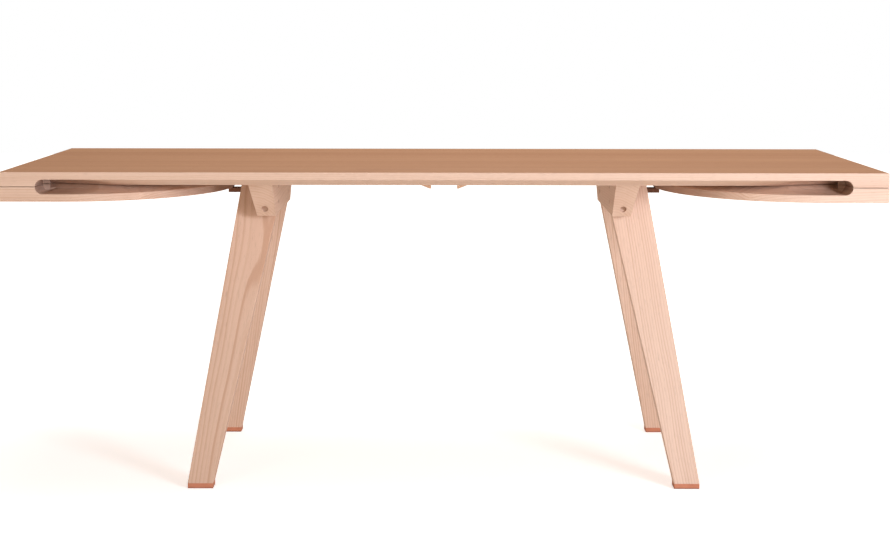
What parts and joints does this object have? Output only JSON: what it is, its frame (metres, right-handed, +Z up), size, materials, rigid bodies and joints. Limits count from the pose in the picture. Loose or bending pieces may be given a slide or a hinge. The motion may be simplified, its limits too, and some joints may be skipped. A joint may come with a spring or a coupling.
{
  "type": "drop leaf table",
  "caption": "Long trestle table on splayed legs, with a D-shaped leaf folded flat under each end of the top and sliding bars that carry the leaves when they are turned out.",
  "frame": {"origin": "on the floor, under the middle of the top", "axes": "+X along the table's length, +Y across it, +Z up"},
  "size_m": [2.006, 0.9, 0.74],
  "materials": {
    "board_wood": "oiled",
    "leg_wood": "oiled",
    "bar_wood": "oiled",
    "catch_wood": "oiled",
    "plug_wood": "oiled",
    "foot_pad": "oiled",
    "hinge_steel": "satin",
    "fastener_steel": "zinc plated",
    "magnet_plate": "nickel plated"
  },
  "bodies": {
    "table": {"back_left_foot": "foot_pad", "back_left_leg": "leg_wood", "back_right_foot": "foot_pad", "back_right_leg": "leg_wood", "beam_plugs": "plug_wood", "catch_block_screws": "fastener_steel", "catch_magnets": "magnet_plate", "foot_screws": "fastener_steel", "front_left_foot": "foot_pad", "front_left_leg": "leg_wood", "front_right_foot": "foot_pad", "front_right_leg": "leg_wood", "hinge_pins": "fastener_steel", "left_back_hinge_top_plate": "hinge_steel", "left_beam": "leg_wood", "left_beam_bolts": "fastener_steel", "left_catch_block": "catch_wood", "left_front_hinge_top_plate": "hinge_steel", "left_leg_bolts": "fastener_steel", "left_middle_hinge_top_plate": "hinge_steel", "leg_cross_dowels": "fastener_steel", "right_back_hinge_top_plate": "hinge_steel", "right_beam": "leg_wood", "right_beam_bolts": "fastener_steel", "right_catch_block": "catch_wood", "right_front_hinge_top_plate": "hinge_steel", "right_leg_bolts": "fastener_steel", "right_middle_hinge_top_plate": "hinge_steel", "table_top": "board_wood", "top_hinge_screws": "fastener_steel", "top_inserts": "fastener_steel"},
    "left_leaf": {"left_back_hinge_leaf_plate": "hinge_steel", "left_catch_tongue": "catch_wood", "left_front_hinge_leaf_plate": "hinge_steel", "left_keeper_disc": "fastener_steel", "left_leaf": "board_wood", "left_leaf_hinge_screws": "fastener_steel", "left_middle_hinge_leaf_plate": "hinge_steel", "left_tongue_screws": "fastener_steel"},
    "front_left_bar": {"front_left_support_bar": "bar_wood", "front_left_grip": "bar_wood"},
    "back_left_bar": {"back_left_support_bar": "bar_wood", "back_left_grip": "bar_wood"},
    "right_leaf": {"right_back_hinge_leaf_plate": "hinge_steel", "right_catch_tongue": "catch_wood", "right_front_hinge_leaf_plate": "hinge_steel", "right_keeper_disc": "fastener_steel", "right_leaf": "board_wood", "right_leaf_hinge_screws": "fastener_steel", "right_middle_hinge_leaf_plate": "hinge_steel", "right_tongue_screws": "fastener_steel"},
    "front_right_bar": {"front_right_support_bar": "bar_wood", "front_right_grip": "bar_wood"},
    "back_right_bar": {"back_right_support_bar": "bar_wood", "back_right_grip": "bar_wood"}
  },
  "joints": [
    {"name": "left_leaf_hinge", "type": "hinge", "parent": "table", "child": "left_leaf", "pos_m": [-1, 0, 0.7065], "axis": [0, 1, 0], "range_deg": [0, 180]},
    {"name": "front_left_bar_slide", "type": "slide", "parent": "table", "child": "front_left_bar", "axis": [-1, 0, 0], "range_m": [0, 0.32]},
    {"name": "back_left_bar_slide", "type": "slide", "parent": "table", "child": "back_left_bar", "axis": [-1, 0, 0], "range_m": [0, 0.32]},
    {"name": "right_leaf_hinge", "type": "hinge", "parent": "table", "child": "right_leaf", "pos_m": [1, 0, 0.7065], "axis": [0, -1, 0], "range_deg": [0, 180]},
    {"name": "front_right_bar_slide", "type": "slide", "parent": "table", "child": "front_right_bar", "axis": [1, 0, 0], "range_m": [0, 0.32]},
    {"name": "back_right_bar_slide", "type": "slide", "parent": "table", "child": "back_right_bar", "axis": [1, 0, 0], "range_m": [0, 0.32]}
  ]
}
